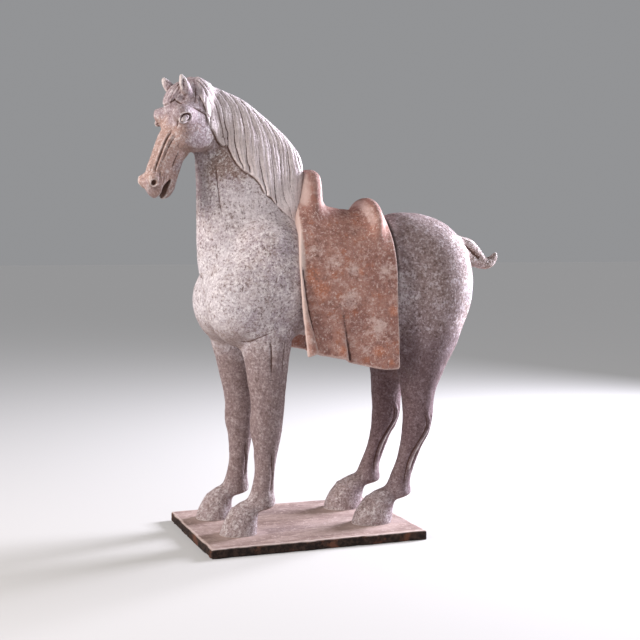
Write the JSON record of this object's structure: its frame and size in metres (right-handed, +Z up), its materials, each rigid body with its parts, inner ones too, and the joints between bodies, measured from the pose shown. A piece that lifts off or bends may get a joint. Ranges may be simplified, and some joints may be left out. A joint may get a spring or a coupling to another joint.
{
  "type": "pottery horse statuette",
  "caption": "Pottery horse standing on a slab plinth, head turned, with a combed mane, an upturned tail and a saddle with a long draped cloth.",
  "frame": {"origin": "centre of the plinth's underside", "axes": "+Z up, -X towards the horse's head, -Y towards its left side"},
  "size_m": [0.5201, 0.2258, 0.5994],
  "materials": {
    "slip_coated_pottery": "matt pale pinkish grey slip over earthenware, pitted and earth stained",
    "red_painted_pottery": "matt red-brown pigment over earthenware, worn, with pale crusts",
    "unglazed_pottery_slab": "matt unglazed earthenware, dusty, with dark worn edges"
  },
  "bodies": {
    "root": {"horse": "slip_coated_pottery", "saddle": "red_painted_pottery", "plinth": "unglazed_pottery_slab"}
  },
  "joints": []
}
